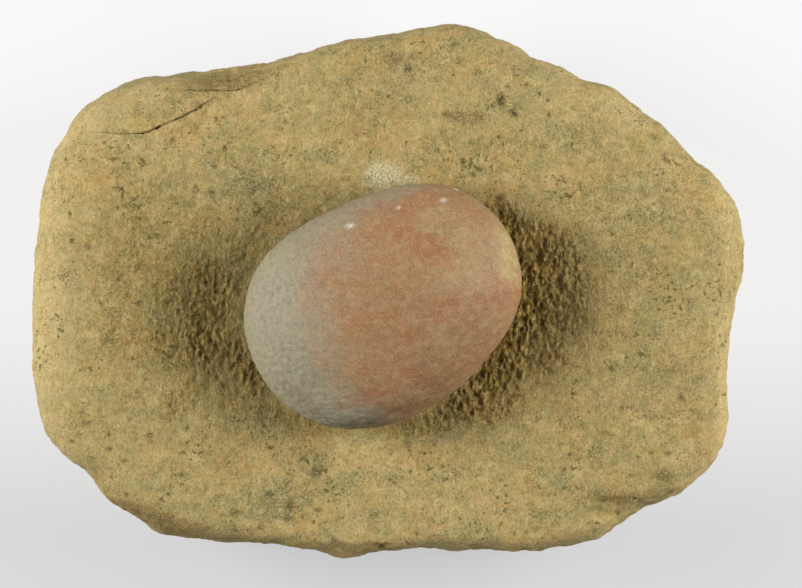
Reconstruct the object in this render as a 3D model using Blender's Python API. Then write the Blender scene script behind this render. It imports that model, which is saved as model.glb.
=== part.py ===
"""A small saddle quern: a dished sandstone slab and the oval handstone that rests in it.

Units are metres and +Z is up. +X runs along the slab's length and +Y across its width. The
origin is on the resting plane, under the middle of the slab's length and width.
"""

import math

import bmesh
import bpy
from mathutils import Vector
from mathutils.bvhtree import BVHTree

# Slab, overall. The height is that of the rim at the two ends of the hollow.
SLAB_LENGTH = 0.1755
SLAB_WIDTH = 0.1315
SLAB_HEIGHT = 0.043
SADDLE_FALL = 0.0022

# Grinding surface: a broad dish, and the deeper pecked hollow in the middle of it. Their common
# centre is given as shares of the slab's length and width.
DISH_LENGTH = 0.160
DISH_WIDTH = 0.112
DISH_DEPTH = 0.0055
HOLLOW_LENGTH = 0.118
HOLLOW_WIDTH = 0.074
HOLLOW_DEPTH = 0.0065
HOLLOW_CENTRE = (-0.009, -0.030)
HOLLOW_ROUNDNESS = 1.45

# Handstone. Its two ends and its two sides are slightly unequal, as its swells give. Its centre is
# given as shares of the slab's length and width.
HANDSTONE_LENGTH = 0.0687
HANDSTONE_BREADTH = 0.0533
HANDSTONE_THICKNESS = 0.0340
HANDSTONE_TURN = math.radians(32.6)
HANDSTONE_CENTRE = (-0.004, -0.029)
HANDSTONE_BELLY_SHARE = 0.48
HANDSTONE_OUTLINE_POWER = 2.1
HANDSTONE_DOME_POWER = 2.15
HANDSTONE_SWELLS = (
    # heading in degrees, half width in degrees, share added to the radius
    (131, 48, 0.083),
    (66, 34, -0.024),
    (-60, 26, -0.034),
    (-160, 28, -0.015),
)

# Clearance left between the two stones where they touch.
RESTING_GAP = 0.0003

# Outline of the slab seen from above, anticlockwise from the low end of its east side, as
# shares of the slab's length and width from its middle.
EAST_SIDE = (
    (0.477, -0.239), (0.475, -0.168), (0.480, -0.052), (0.496, 0.042), (0.500, 0.082),
    (0.490, 0.151),
)
NORTH_EAST_SIDE = (
    (0.461, 0.213), (0.435, 0.237), (0.393, 0.297), (0.323, 0.371), (0.283, 0.393),
    (0.217, 0.432), (0.161, 0.470), (0.120, 0.491), (0.085, 0.500),
)
NORTH_SIDE = (
    (-0.001, 0.479), (-0.082, 0.459), (-0.147, 0.436), (-0.203, 0.420), (-0.279, 0.408),
    (-0.355, 0.395),
)
NORTH_WEST_CORNER = ((-0.397, 0.374), (-0.434, 0.335), (-0.462, 0.275), (-0.486, 0.174))
WEST_SIDE = ((-0.496, 0.048), (-0.500, -0.112), (-0.496, -0.205), (-0.472, -0.286))
SOUTH_WEST_CORNER = ((-0.417, -0.348), (-0.395, -0.391), (-0.333, -0.442), (-0.305, -0.460))
SOUTH_SIDE = (
    (-0.195, -0.470), (-0.112, -0.481), (-0.061, -0.500), (-0.032, -0.492), (0.013, -0.483),
    (0.129, -0.483), (0.220, -0.484),
)
SOUTH_EAST_CORNER = (
    (0.288, -0.469), (0.326, -0.438), (0.348, -0.412), (0.382, -0.394), (0.428, -0.357),
    (0.458, -0.314),
)
OUTLINE_SHARES = (
    EAST_SIDE + NORTH_EAST_SIDE + NORTH_SIDE + NORTH_WEST_CORNER
    + WEST_SIDE + SOUTH_WEST_CORNER + SOUTH_SIDE + SOUTH_EAST_CORNER
)

# How the top rolls over at the edge: heading in degrees, width of the roll, its drop.
EDGE_ROLLS = (
    (0, 0.0045, 0.0100),
    (20, 0.0062, 0.0125),
    (45, 0.0042, 0.0090),
    (85, 0.0052, 0.0100),
    (118, 0.0040, 0.0075),
    (142, 0.0120, 0.0150),
    (180, 0.0096, 0.0130),
    (205, 0.0072, 0.0110),
    (228, 0.0064, 0.0125),
    (250, 0.0036, 0.0085),
    (262, 0.0028, 0.0070),
    (300, 0.0036, 0.0090),
    (325, 0.0060, 0.0115),
    (345, 0.0055, 0.0105),
)

# How far the sides draw in between the widest line and the resting face: heading, distance.
# The facets of the sides are slanting waves: waves right round the slab, slant, start.
SIDE_UNDERCUTS = ((0, 0.0125), (75, 0.0170), (140, 0.0130), (190, 0.0115), (265, 0.0185))
SIDE_POWER = 2.4
SIDE_SMOOTHING = 7
SIDE_FACET_DEPTH = 0.0022
SIDE_FACETS = ((5, 2.6, 0.3), (9, -3.4, 1.7), (14, 1.9, 4.0))

# Scars where flakes have come off the top edge: centre as shares of the slab's length and
# width, half length, half width, heading in degrees, depth.
NORTH_FLAKE_SCAR = ((-0.236, 0.414), 0.0138, 0.0044, 6, 0.0050)
SOUTH_EAST_CHIP = ((0.337, -0.418), 0.0080, 0.0034, 32, 0.0028)
SOUTH_LEDGE = ((-0.038, -0.494), 0.0138, 0.0018, 2, 0.0024)
EAST_DENT = ((0.492, 0.030), 0.0060, 0.0020, 78, 0.0016)
SCARS = (NORTH_FLAKE_SCAR, SOUTH_EAST_CHIP, SOUTH_LEDGE, EAST_DENT)
SCAR_STEEPNESS = 5

# Low swells of the top: rise, length from crest to crest, heading in degrees, start in radians.
TOP_SWELLS = (
    (0.00055, 0.083, 20, 0.4),
    (0.00045, 0.057, 110, 1.9),
    (0.00025, 0.034, 65, 4.1),
)

# Fineness of the meshes. The edge rings lie at these distances in from the widest line.
SPOKES = 144
OUTLINE_STEPS = 24
EDGE_RINGS = (0.0, 0.0009, 0.0022, 0.0040, 0.0064, 0.0098)
INNER_RINGS = 14
HALF_SPOKES_WITHIN = 0.62
QUARTER_SPOKES_WITHIN = 0.28
SIDE_ROWS = 6
BASE_SHARES = (0.68, 0.34)
HANDSTONE_SPOKES = 48
HANDSTONE_ROWS = 22
SHARP_ANGLE = math.radians(50)

# Colours as linear red, green and blue.
SANDSTONE = (0.43, 0.33, 0.14)
PEBBLE = (0.40, 0.24, 0.14)
SANDSTONE_ROUGHNESS = 0.92
PEBBLE_ROUGHNESS = 0.75


def clear_scene():
    """Remove whatever the open file holds."""
    for thing in list(bpy.data.objects):
        bpy.data.objects.remove(thing, do_unlink=True)


def stone_material(name, colour, roughness):
    """Plain stone finish with the given colour and roughness."""
    material = bpy.data.materials.new(name)
    material.use_nodes = True
    shader = material.node_tree.nodes["Principled BSDF"]
    shader.inputs["Base Color"].default_value = (*colour, 1.0)
    shader.inputs["Roughness"].default_value = roughness
    shader.inputs["Metallic"].default_value = 0.0
    return material


def from_shares(shares):
    """Point on the slab's plan, in metres, from shares of its length and width."""
    return Vector((shares[0] * SLAB_LENGTH, shares[1] * SLAB_WIDTH))


def smooth_between(before, start, end, after, share):
    """Catmull-Rom curve from start to end, shaped by the points on either side of them."""
    slope_in = (end - before) / 2
    slope_out = (after - start) / 2
    rest = 1 - share
    return (
        start * (rest * rest * (1 + 2 * share))
        + end * (share * share * (1 + 2 * rest))
        + slope_in * (share * rest * rest)
        - slope_out * (share * share * rest)
    )


def even_points(curve, count):
    """Points at equal steps along a closed polyline."""
    lengths = [0.0]
    for here, there in zip(curve, curve[1:] + curve[:1]):
        lengths.append(lengths[-1] + (there - here).length)
    points = []
    span = 0
    for index in range(count):
        reach = lengths[-1] * index / count
        while lengths[span + 1] < reach:
            span += 1
        share = (reach - lengths[span]) / (lengths[span + 1] - lengths[span])
        points.append(curve[span].lerp(curve[(span + 1) % len(curve)], share))
    return points


def slab_outline():
    """Widest line of the slab, evenly spaced, filling its length and width exactly."""
    knots = [from_shares(shares) for shares in OUTLINE_SHARES]
    curve = []
    for index, knot in enumerate(knots):
        before = knots[index - 1]
        end = knots[(index + 1) % len(knots)]
        after = knots[(index + 2) % len(knots)]
        for step in range(OUTLINE_STEPS):
            curve.append(smooth_between(before, knot, end, after, step / OUTLINE_STEPS))
    points = even_points(curve, SPOKES)
    low = Vector([min(point[axis] for point in points) for axis in (0, 1)])
    high = Vector([max(point[axis] for point in points) for axis in (0, 1)])
    middle = (low + high) / 2
    fit = (SLAB_LENGTH / (high.x - low.x), SLAB_WIDTH / (high.y - low.y))
    return [
        Vector(((point.x - middle.x) * fit[0], (point.y - middle.y) * fit[1])) for point in points
    ]


def by_heading(table, heading):
    """Values of a table of headings, eased from one row to the next right round the slab."""
    heading %= 360
    rows = list(table) + [(table[0][0] + 360, *table[0][1:])]
    for row, following in zip(rows, rows[1:]):
        if row[0] <= heading <= following[0]:
            share = (heading - row[0]) / (following[0] - row[0])
            ease = (1 - math.cos(math.pi * share)) / 2
            return [here + (there - here) * ease for here, there in zip(row[1:], following[1:])]
    raise ValueError(heading)


def ellipse_reach(point, centre, half_length, half_width, heading):
    """How far out a point lies in a turned ellipse: 0 at its centre and 1 on its edge."""
    away = point - centre
    turn = math.radians(heading)
    along = away.x * math.cos(turn) + away.y * math.sin(turn)
    across = away.y * math.cos(turn) - away.x * math.sin(turn)
    return math.hypot(along / half_length, across / half_width)


def hollow_depth(point):
    """Depth of the worn dish and its hollow at a point of the plan."""
    centre = from_shares(HOLLOW_CENTRE)
    depth = 0.0
    for length, width, floor in (
        (DISH_LENGTH, DISH_WIDTH, DISH_DEPTH),
        (HOLLOW_LENGTH, HOLLOW_WIDTH, HOLLOW_DEPTH),
    ):
        reach = ellipse_reach(point, centre, length / 2, width / 2, 0)
        depth += floor * max(0.0, 1 - reach**2) ** HOLLOW_ROUNDNESS
    return depth


def scar_depth(point):
    """Depth of the flake scars at a point of the plan: flat floors with steep walls."""
    depth = 0.0
    for centre, half_length, half_width, heading, floor in SCARS:
        reach = ellipse_reach(point, from_shares(centre), half_length, half_width, heading)
        depth += floor * max(0.0, 1 - reach**SCAR_STEEPNESS)
    return depth


def top_height(point):
    """Height of the slab's top at a point of the plan, before its edge rolls over."""
    height = SLAB_HEIGHT - SADDLE_FALL * (point.y / (SLAB_WIDTH / 2)) ** 2
    for rise, length, heading, start in TOP_SWELLS:
        turn = math.radians(heading)
        along = point.x * math.cos(turn) + point.y * math.sin(turn)
        height += rise * math.sin(2 * math.pi * along / length + start)
    return height - hollow_depth(point) - scar_depth(point)


def edge_drop(heading, inset):
    """Drop of the rolled edge at a distance in from the widest line: a quarter ellipse."""
    width, drop = by_heading(EDGE_ROLLS, heading)
    if inset >= width:
        return 0.0
    return drop * (1 - math.sqrt(1 - (1 - inset / width) ** 2))


def side_inset(heading, share):
    """How far in the side lies, from 0 at the widest line to 1 at the resting face."""
    (undercut,) = by_heading(SIDE_UNDERCUTS, heading)
    angle = share * math.pi / 2
    inset = undercut * (1 - math.cos(angle) ** (2 / SIDE_POWER))
    for waves, slant, start in SIDE_FACETS:
        wave = math.sin(waves * math.radians(heading) + slant * share + start)
        inset += SIDE_FACET_DEPTH * (1 + wave) * math.sin(math.pi * share) / (2 * len(SIDE_FACETS))
    return inset


def evened(values, reach):
    """Values of a closed ring, each averaged with its neighbours up to a reach either side."""
    count = len(values)
    steps = range(-reach, reach + 1)
    return [
        sum(values[(index + step) % count] for step in steps) / len(steps)
        for index in range(count)
    ]


def side_height(share):
    """Height down the side, from 1 at the widest line to 0 at the resting face."""
    return 1 - math.sin(share * math.pi / 2) ** (2 / SIDE_POWER)


def add_ring(mesh, points):
    """Add a ring of vertices."""
    return [mesh.verts.new(point) for point in points]


def stitch(mesh, ring, other):
    """Join two rings, of which the second may have half as many vertices as the first."""
    ratio = len(ring) // len(other)
    for index, here in enumerate(other):
        there = other[(index + 1) % len(other)]
        first = index * ratio
        near = [ring[(first + step) % len(ring)] for step in range(ratio + 1)]
        if ratio == 1:
            mesh.faces.new((near[0], near[1], there, here))
        else:
            mesh.faces.new((near[0], near[1], here))
            mesh.faces.new((near[1], there, here))
            mesh.faces.new((near[1], near[2], there))


def close_ring(mesh, ring, point):
    """Close a ring with a fan of triangles about a point."""
    centre = mesh.verts.new(point)
    for here, there in zip(ring, ring[1:] + ring[:1]):
        mesh.faces.new((here, there, centre))


def spokes_at(share):
    """Step from spoke to spoke at a share of the way out from the hub."""
    if share < QUARTER_SPOKES_WITHIN:
        return 4
    if share < HALF_SPOKES_WITHIN:
        return 2
    return 1


def finish_object(name, mesh, material):
    """Turn a bmesh into a smooth-shaded object of the scene, with its faces pointing out."""
    bmesh.ops.recalc_face_normals(mesh, faces=mesh.faces)
    data = bpy.data.meshes.new(name)
    mesh.to_mesh(data)
    mesh.free()
    data.shade_smooth()
    data.set_sharp_from_angle(angle=SHARP_ANGLE)
    data.materials.append(material)
    thing = bpy.data.objects.new(name, data)
    bpy.context.scene.collection.objects.link(thing)
    return thing


class SlabPlan:
    """The slab's widest line, and the spokes that run from it in to a hub in the hollow."""

    def __init__(self):
        """Lay out the widest line and measure its spokes."""
        self.outline = slab_outline()
        self.hub = from_shares(HOLLOW_CENTRE)
        spokes = [point - self.hub for point in self.outline]
        self.reaches = [spoke.length for spoke in spokes]
        self.foot_reaches = evened(self.reaches, SIDE_SMOOTHING)
        self.headings = [math.degrees(math.atan2(spoke.y, spoke.x)) for spoke in spokes]

    def point(self, spoke, inset):
        """Point of the plan at a distance in along a spoke."""
        return self.outline[spoke].lerp(self.hub, inset / self.reaches[spoke])

    def top_point(self, spoke, inset):
        """Point of the slab's top at a distance in along a spoke."""
        plan = self.point(spoke, inset)
        return plan.x, plan.y, top_height(plan) - edge_drop(self.headings[spoke], inset)

    def side_point(self, spoke, share, widest_height):
        """Point of the side, from 0 at the widest line to 1 at the resting face."""
        evening = (self.reaches[spoke] - self.foot_reaches[spoke]) * share**2
        plan = self.point(spoke, side_inset(self.headings[spoke], share) + evening)
        return plan.x, plan.y, widest_height * side_height(share)


def build_top(mesh, plan):
    """Rolled edge, top and hollow, from the widest line in to the hub. Gives the widest ring."""
    rings = []
    for inset in EDGE_RINGS:
        rings.append(add_ring(mesh, [plan.top_point(spoke, inset) for spoke in range(SPOKES)]))
    for step in range(1, INNER_RINGS):
        share = 1 - step / INNER_RINGS
        points = []
        for spoke in range(0, SPOKES, spokes_at(share)):
            inset = plan.reaches[spoke] - (plan.reaches[spoke] - EDGE_RINGS[-1]) * share
            points.append(plan.top_point(spoke, inset))
        rings.append(add_ring(mesh, points))
    for ring, following in zip(rings, rings[1:]):
        stitch(mesh, ring, following)
    close_ring(mesh, rings[-1], (plan.hub.x, plan.hub.y, top_height(plan.hub)))
    return rings[0]


def build_side(mesh, plan, widest):
    """Side from the widest ring down to the resting face. Gives the resting face's ring."""
    ring = widest
    for row in range(1, SIDE_ROWS + 1):
        share = row / SIDE_ROWS
        points = [plan.side_point(spoke, share, widest[spoke].co.z) for spoke in range(SPOKES)]
        following = add_ring(mesh, points)
        stitch(mesh, ring, following)
        ring = following
    return ring


def build_base(mesh, plan, edge):
    """Flat resting face inside its ring, with fewer spokes towards its middle."""
    ring = edge
    for order, share in enumerate(BASE_SHARES, start=1):
        points = []
        for vertex in edge[:: 2**order]:
            plan_point = plan.hub.lerp(vertex.co.xy, share)
            points.append((plan_point.x, plan_point.y, 0.0))
        following = add_ring(mesh, points)
        stitch(mesh, ring, following)
        ring = following
    close_ring(mesh, ring, (plan.hub.x, plan.hub.y, 0.0))


def build_slab():
    """The lower stone: top with its hollow and scars, rolled edge, sides and resting face."""
    mesh = bmesh.new()
    plan = SlabPlan()
    widest = build_top(mesh, plan)
    base_edge = build_side(mesh, plan, widest)
    build_base(mesh, plan, base_edge)
    material = stone_material("sandstone", SANDSTONE, SANDSTONE_ROUGHNESS)
    return finish_object("quern_slab", mesh, material)


def handstone_radius(angle):
    """Radius of the handstone's outline, its long axis lying at angle 0."""
    along = abs(math.cos(angle)) / (HANDSTONE_LENGTH / 2)
    across = abs(math.sin(angle)) / (HANDSTONE_BREADTH / 2)
    power = HANDSTONE_OUTLINE_POWER
    radius = (along**power + across**power) ** (-1 / power)
    swell = 0.0
    for heading, half_width, share in HANDSTONE_SWELLS:
        away = (math.degrees(angle) - heading + 180) % 360 - 180
        if abs(away) < half_width:
            swell += share * (1 + math.cos(math.pi * away / half_width)) / 2
    return radius * (1 + swell)


def build_handstone():
    """The upper stone: a flattened oval pebble, its widest line at height 0."""
    mesh = bmesh.new()
    belly = -HANDSTONE_THICKNESS * HANDSTONE_BELLY_SHARE
    crown = HANDSTONE_THICKNESS + belly
    previous = None
    for row in range(1, HANDSTONE_ROWS):
        lift = math.pi * row / HANDSTONE_ROWS - math.pi / 2
        spread = math.cos(lift) ** (2 / HANDSTONE_DOME_POWER)
        rise = abs(math.sin(lift)) ** (2 / HANDSTONE_DOME_POWER)
        height = (crown if lift > 0 else belly) * rise
        points = []
        for spoke in range(HANDSTONE_SPOKES):
            angle = 2 * math.pi * spoke / HANDSTONE_SPOKES
            radius = handstone_radius(angle) * spread
            points.append((radius * math.cos(angle), radius * math.sin(angle), height))
        ring = add_ring(mesh, points)
        if previous:
            stitch(mesh, previous, ring)
        else:
            close_ring(mesh, ring, (0.0, 0.0, belly))
        previous = ring
    close_ring(mesh, previous, (0.0, 0.0, crown))
    material = stone_material("pebble", PEBBLE, PEBBLE_ROUGHNESS)
    return finish_object("handstone", mesh, material)


def surface_tree(thing):
    """Search tree over an object's faces, in the scene's own coordinates."""
    points = [thing.matrix_world @ vertex.co for vertex in thing.data.vertices]
    return BVHTree.FromPolygons(points, [tuple(face.vertices) for face in thing.data.polygons])


def rest_on(upper, lower):
    """Lower the upper stone until only the resting gap is left between the two."""
    upper.location.z = 2 * (SLAB_HEIGHT + HANDSTONE_THICKNESS)
    bpy.context.view_layer.update()
    drops = []
    for thing, other, way in ((upper, lower, -1), (lower, upper, 1)):
        tree = surface_tree(other)
        for vertex in thing.data.vertices:
            hit = tree.ray_cast(thing.matrix_world @ vertex.co, Vector((0, 0, way)))
            if hit[3] is not None:
                drops.append(hit[3])
    upper.location.z -= min(drops) - RESTING_GAP


def main():
    """Build the two stones and rest one in the other."""
    clear_scene()
    slab = build_slab()
    handstone = build_handstone()
    seat = from_shares(HANDSTONE_CENTRE)
    handstone.location = (seat.x, seat.y, 0.0)
    handstone.rotation_euler.z = HANDSTONE_TURN
    rest_on(handstone, slab)


main()
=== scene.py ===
"""Looks of a small saddle quern: a dished sandstone slab and the oval handstone that rests in it.

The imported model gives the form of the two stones, and this script gives them their surface: the
breaks along the slab's edge, its crack, the peck marks of its hollow, grain, pits and colour.
Lengths are metres unless a name or a comment says millimetres. +X runs along the slab and +Y
across it.
"""

import logging
import math
from dataclasses import asdict, dataclass, field
from enum import Enum
from functools import partial

import bmesh
import bpy
import numpy as np
from bpy.types import Material, Mesh, Node, NodeSocket, NodeTree, Object
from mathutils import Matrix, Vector


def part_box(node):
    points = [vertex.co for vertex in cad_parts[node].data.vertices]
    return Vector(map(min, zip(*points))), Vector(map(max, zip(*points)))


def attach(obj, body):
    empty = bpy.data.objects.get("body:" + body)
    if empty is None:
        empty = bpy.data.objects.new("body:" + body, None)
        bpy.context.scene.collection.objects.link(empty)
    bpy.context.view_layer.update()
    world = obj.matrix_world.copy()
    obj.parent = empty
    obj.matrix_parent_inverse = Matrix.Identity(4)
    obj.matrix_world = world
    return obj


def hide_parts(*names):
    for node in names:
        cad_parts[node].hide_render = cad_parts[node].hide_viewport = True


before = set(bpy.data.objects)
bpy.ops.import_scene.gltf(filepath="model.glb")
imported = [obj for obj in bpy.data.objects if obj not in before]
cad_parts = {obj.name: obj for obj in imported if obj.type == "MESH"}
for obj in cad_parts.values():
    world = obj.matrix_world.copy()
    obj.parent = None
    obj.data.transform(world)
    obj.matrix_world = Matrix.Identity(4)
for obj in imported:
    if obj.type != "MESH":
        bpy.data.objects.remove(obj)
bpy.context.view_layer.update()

MM = 0.001
LOG = logging.getLogger("quern")


def linear(hex_colour: str) -> tuple[float, float, float, float]:
    """Turn an sRGB hex colour into linear red, green, blue and alpha.

    Args:
        hex_colour: Six hex digits.

    Returns:
        The linear colour, opaque.
    """
    parts = [int(hex_colour[place : place + 2], 16) / 255 for place in (0, 2, 4)]
    curve = [c / 12.92 if c <= 0.04045 else ((c + 0.055) / 1.055) ** 2.4 for c in parts]
    return (*curve, 1.0)


def add_node(
    tree: NodeTree,
    kind: str,
    inputs: dict[int | str, object] | None = None,
    **settings: object,
) -> Node:
    """Add a node with its settings, and set or link its inputs.

    Args:
        tree: The shader or geometry tree.
        kind: The node's type name.
        inputs: Socket name or number to a value, or to another node's output socket.
        settings: The node's own properties.

    Returns:
        The new node.
    """
    node = tree.nodes.new(kind)
    for name, value in settings.items():
        setattr(node, name, value)
    for socket, value in (inputs or {}).items():
        if isinstance(value, NodeSocket):
            tree.links.new(value, node.inputs[socket])
        else:
            node.inputs[socket].default_value = value
    return node


def lumps(
    tree: NodeTree,
    place: NodeSocket,
    size: tuple[float, float, float],
    detail: float,
) -> NodeSocket:
    """Noise from 0 to 1 whose lumps have a real size.

    Args:
        tree: The shader or geometry tree.
        place: Position or object coordinates.
        size: Lump size along x, y and z, in millimetres.
        detail: Octaves of finer lumps.

    Returns:
        The noise.
    """
    scale = tuple(1 / (length * MM) for length in size)
    scaled = add_node(tree, "ShaderNodeVectorMath", {0: place, 1: scale}, operation="MULTIPLY")
    inputs = {"Vector": scaled.outputs["Vector"], "Scale": 1.0, "Detail": detail}
    return add_node(tree, "ShaderNodeTexNoise", inputs).outputs["Fac"]


def smoothstep(value: np.ndarray, low: float, high: float) -> np.ndarray:
    """Ease values from 0 at low to 1 at high.

    Args:
        value: The values.
        low: Where the result leaves 0. It may be above high.
        high: Where the result reaches 1.

    Returns:
        The eased values.
    """
    share = np.clip((value - low) / (high - low), 0.0, 1.0)
    return share * share * (3 - 2 * share)


@dataclass(frozen=True)
class Ellipse:
    """A turned ellipse on the plan, in millimetres from the slab's middle."""

    x: float
    y: float
    half_length: float
    half_width: float
    heading: float = 0.0

    def reach(self, points: np.ndarray) -> np.ndarray:
        """How far out points lie: 0 at the centre and 1 on the edge.

        Args:
            points: Places in metres, one a row.

        Returns:
            One value for each point.
        """
        away_x = points[:, 0] / MM - self.x
        away_y = points[:, 1] / MM - self.y
        turn = math.radians(self.heading)
        along = away_x * math.cos(turn) + away_y * math.sin(turn)
        across = away_y * math.cos(turn) - away_x * math.sin(turn)
        return np.hypot(along / self.half_length, across / self.half_width)


@dataclass(frozen=True)
class Trail:
    """An open line on the plan, in millimetres, each of whose points has a strength."""

    points: tuple[tuple[float, float, float], ...]

    def measure(self, places: np.ndarray) -> tuple[np.ndarray, np.ndarray, np.ndarray]:
        """Distance from the line, the strength at its nearest point, and the side.

        Args:
            places: Places in metres, one a row.

        Returns:
            Distances in millimetres, strengths, and signs that are positive on the left.
        """
        plan = places[:, :2] / MM
        best = np.full(len(plan), 1e9)
        strength = np.zeros(len(plan))
        side = np.zeros(len(plan))
        for start, end in zip(self.points, self.points[1:]):
            base = np.array(start[:2])
            step = np.array(end[:2]) - base
            share = np.clip(((plan - base) @ step) / (step @ step), 0.0, 1.0)
            away = plan - base - share[:, None] * step
            distance = np.hypot(away[:, 0], away[:, 1])
            nearer = distance < best
            best[nearer] = distance[nearer]
            strength[nearer] = (start[2] + (end[2] - start[2]) * share)[nearer]
            side[nearer] = np.sign(step[0] * away[:, 1] - step[1] * away[:, 0])[nearer]
        return best, strength, side


# The pecked hollow, and the ground in it that the handstone hides.
HOLLOW = Ellipse(-1.6, -3.9, 59.0, 37.0)
HANDSTONE_SHADE = Ellipse(-0.7, -3.8, 29.0, 22.0, 32.6)


@dataclass(frozen=True)
class Crack:
    """A crack: a groove along a line, with the stone on the left of it a little proud.

    The line's strength is how far it gapes. Sizes are in millimetres, and spread and depth are
    for a gape of 1.
    """

    line: Trail
    half_width: float = 0.16
    spread: float = 0.26
    least_depth: float = 0.05
    depth: float = 2.2
    lip_rise: float = 0.22
    lip_reach: float = 5.0
    lip_gape: float = 0.3
    dark_gape: float = 0.42

    def cut(self, places: np.ndarray) -> tuple[np.ndarray, np.ndarray]:
        """How far the crack lowers the stone, and how much painted shade darkens its groove.

        Args:
            places: Places in metres, one a row.

        Returns:
            Millimetres, and a share from 0 to 1, for each place.
        """
        distance, gape, side = self.line.measure(places)
        groove = np.clip(1 - distance / (self.half_width + self.spread * gape), 0.0, 1.0)
        lip = smoothstep(distance, self.lip_reach, 0.0) * np.minimum(gape / self.lip_gape, 1.0)
        drop = groove * (self.least_depth + self.depth * gape) - self.lip_rise * lip * (side > 0)
        return drop, groove * smoothstep(gape, -0.02, self.dark_gape)


@dataclass(frozen=True)
class Scarp:
    """A crisp break: a facet that slopes down on the left of a line, seen along it.

    The line's strength is the facet's slope. Sizes are in millimetres.
    """

    line: Trail
    reach: float
    full_slope: float = 0.6
    level_within: float = 1.5
    top_above: float = 20.0

    def drop(self, places: np.ndarray) -> np.ndarray:
        """How far the break lowers the stone.

        Args:
            places: Places in metres, one a row.

        Returns:
            Millimetres for each place.
        """
        heights = places[:, 2] / MM
        edge = []
        for x, y, _slope in self.line.points:
            away = np.hypot(places[:, 0] / MM - x, places[:, 1] / MM - y)
            near = (away < self.level_within) & (heights > self.top_above)
            edge.append((x, y, heights[near].mean()))
        distance, slope, side = self.line.measure(places)
        _distance, level, _side = Trail(tuple(edge)).measure(places)
        above = heights - (level - slope * distance)
        dying = smoothstep(distance, self.reach, self.reach * 0.7)
        dying = dying * np.minimum(slope / self.full_slope, 1.0)
        return np.where(side > 0, np.maximum(above, 0.0) * dying, 0.0)


# The crack of the north-west corner, and a groove along the notch's foot: painted shade darkens
# both.
CRACKS = (
    Crack(Trail((
        (-75.5, 38.6, 0.08), (-69.0, 38.4, 0.16), (-66.0, 38.1, 0.18), (-61.6, 38.1, 0.26),
        (-59.6, 38.2, 0.50), (-58.0, 38.7, 0.90), (-56.9, 39.3, 0.60), (-56.2, 39.5, 0.70),
        (-55.0, 40.2, 0.20), (-52.3, 41.3, 0.22), (-51.0, 41.9, 0.38), (-50.3, 42.1, 0.22),
        (-47.7, 43.6, 0.24), (-46.2, 44.3, 0.19), (-44.1, 45.8, 0.18), (-42.0, 47.0, 0.08),
    ))),
    Crack(Trail((
        (-52.0, 48.8, 0.04), (-50.6, 49.0, 0.14), (-48.2, 48.9, 0.32), (-46.4, 48.6, 0.22),
        (-44.6, 48.7, 0.30), (-41.5, 48.8, 0.42), (-39.6, 48.5, 0.28), (-38.0, 48.6, 0.38),
        (-36.0, 49.1, 0.26), (-34.0, 50.0, 0.20), (-31.0, 51.2, 0.04),
    ))),
)
# The broken edges of the top: the notch in the north, then the south-east, the south and the east.
SCARPS = (
    Scarp(Trail((
        (-58.5, 46.8, 0.0), (-53.8, 48.4, 0.5), (-50.6, 48.9, 1.0), (-44.6, 48.7, 1.9),
        (-38.0, 48.6, 1.9), (-34.8, 49.7, 1.5), (-30.7, 51.2, 1.1), (-25.5, 53.0, 0.0),
    )), reach=12.0),
    Scarp(Trail((
        (62.2, -50.9, 0.0), (60.6, -50.6, 0.5), (59.0, -50.2, 0.7), (57.4, -50.6, 0.9),
        (55.4, -50.1, 0.9), (53.0, -50.3, 0.7), (50.4, -49.2, 0.4), (46.0, -48.6, 0.0),
    )), reach=6.0),
    Scarp(Trail((
        (1.2, -61.4, 0.0), (-1.4, -61.9, 0.6), (-4.5, -61.2, 0.8), (-8.0, -62.0, 1.0),
        (-11.4, -61.3, 0.9), (-15.7, -61.8, 0.8), (-18.0, -60.9, 0.5), (-20.0, -61.0, 0.0),
    )), reach=5.0),
    Scarp(Trail((
        (83.2, 19.0, 0.0), (82.6, 14.7, 0.8), (81.6, 7.7, 1.2), (82.1, 0.8, 1.3),
        (80.8, -4.0, 0.9), (80.2, -10.4, 0.7), (79.4, -19.4, 0.0),
    )), reach=6.0),
)


class SlabMark(Enum):
    """What kind of mark a patch of the slab carries, painted shade and light among them."""

    DARK = "dark_stain"
    PALE = "pale_stain"
    RUST = "rust_stain"
    GREEN = "green_stain"
    # Painted shade on broken faces and bevels.
    SHADE = "shade_stain"
    # Paler wear, and painted light on the rims that face the lamps.
    WORN = "worn_rim"
    # Grime ground into the hollow, and painted shadow of the handstone beside it.
    DIRT = "hollow_dirt"


class PebbleMark(Enum):
    """What kind of mark a patch of the handstone carries, painted shade among them."""

    PINK = "pink_side"
    TAN = "tan_blush"
    RED = "red_blush"
    # Brown of the stone, with painted shade on the near, lower flank.
    BROWN = "brown_blush"
    GREY = "grey_blush"
    # Painted shade on the lower rim, which turns away from the lamps.
    RIM_SHADE = "dark_rim"
    FLECK = "white_fleck"


class Painted(Enum):
    """What else the slab's mesh stores for its surface and its colours."""

    HOLLOW = "hollow"
    # The dark of the cracks' grooves: painted shade.
    CRACK = "crack"
    # Depth in the streaks and peck marks, where the colour darkens as grime and painted shade.
    CAVITY = "cavity"

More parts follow.
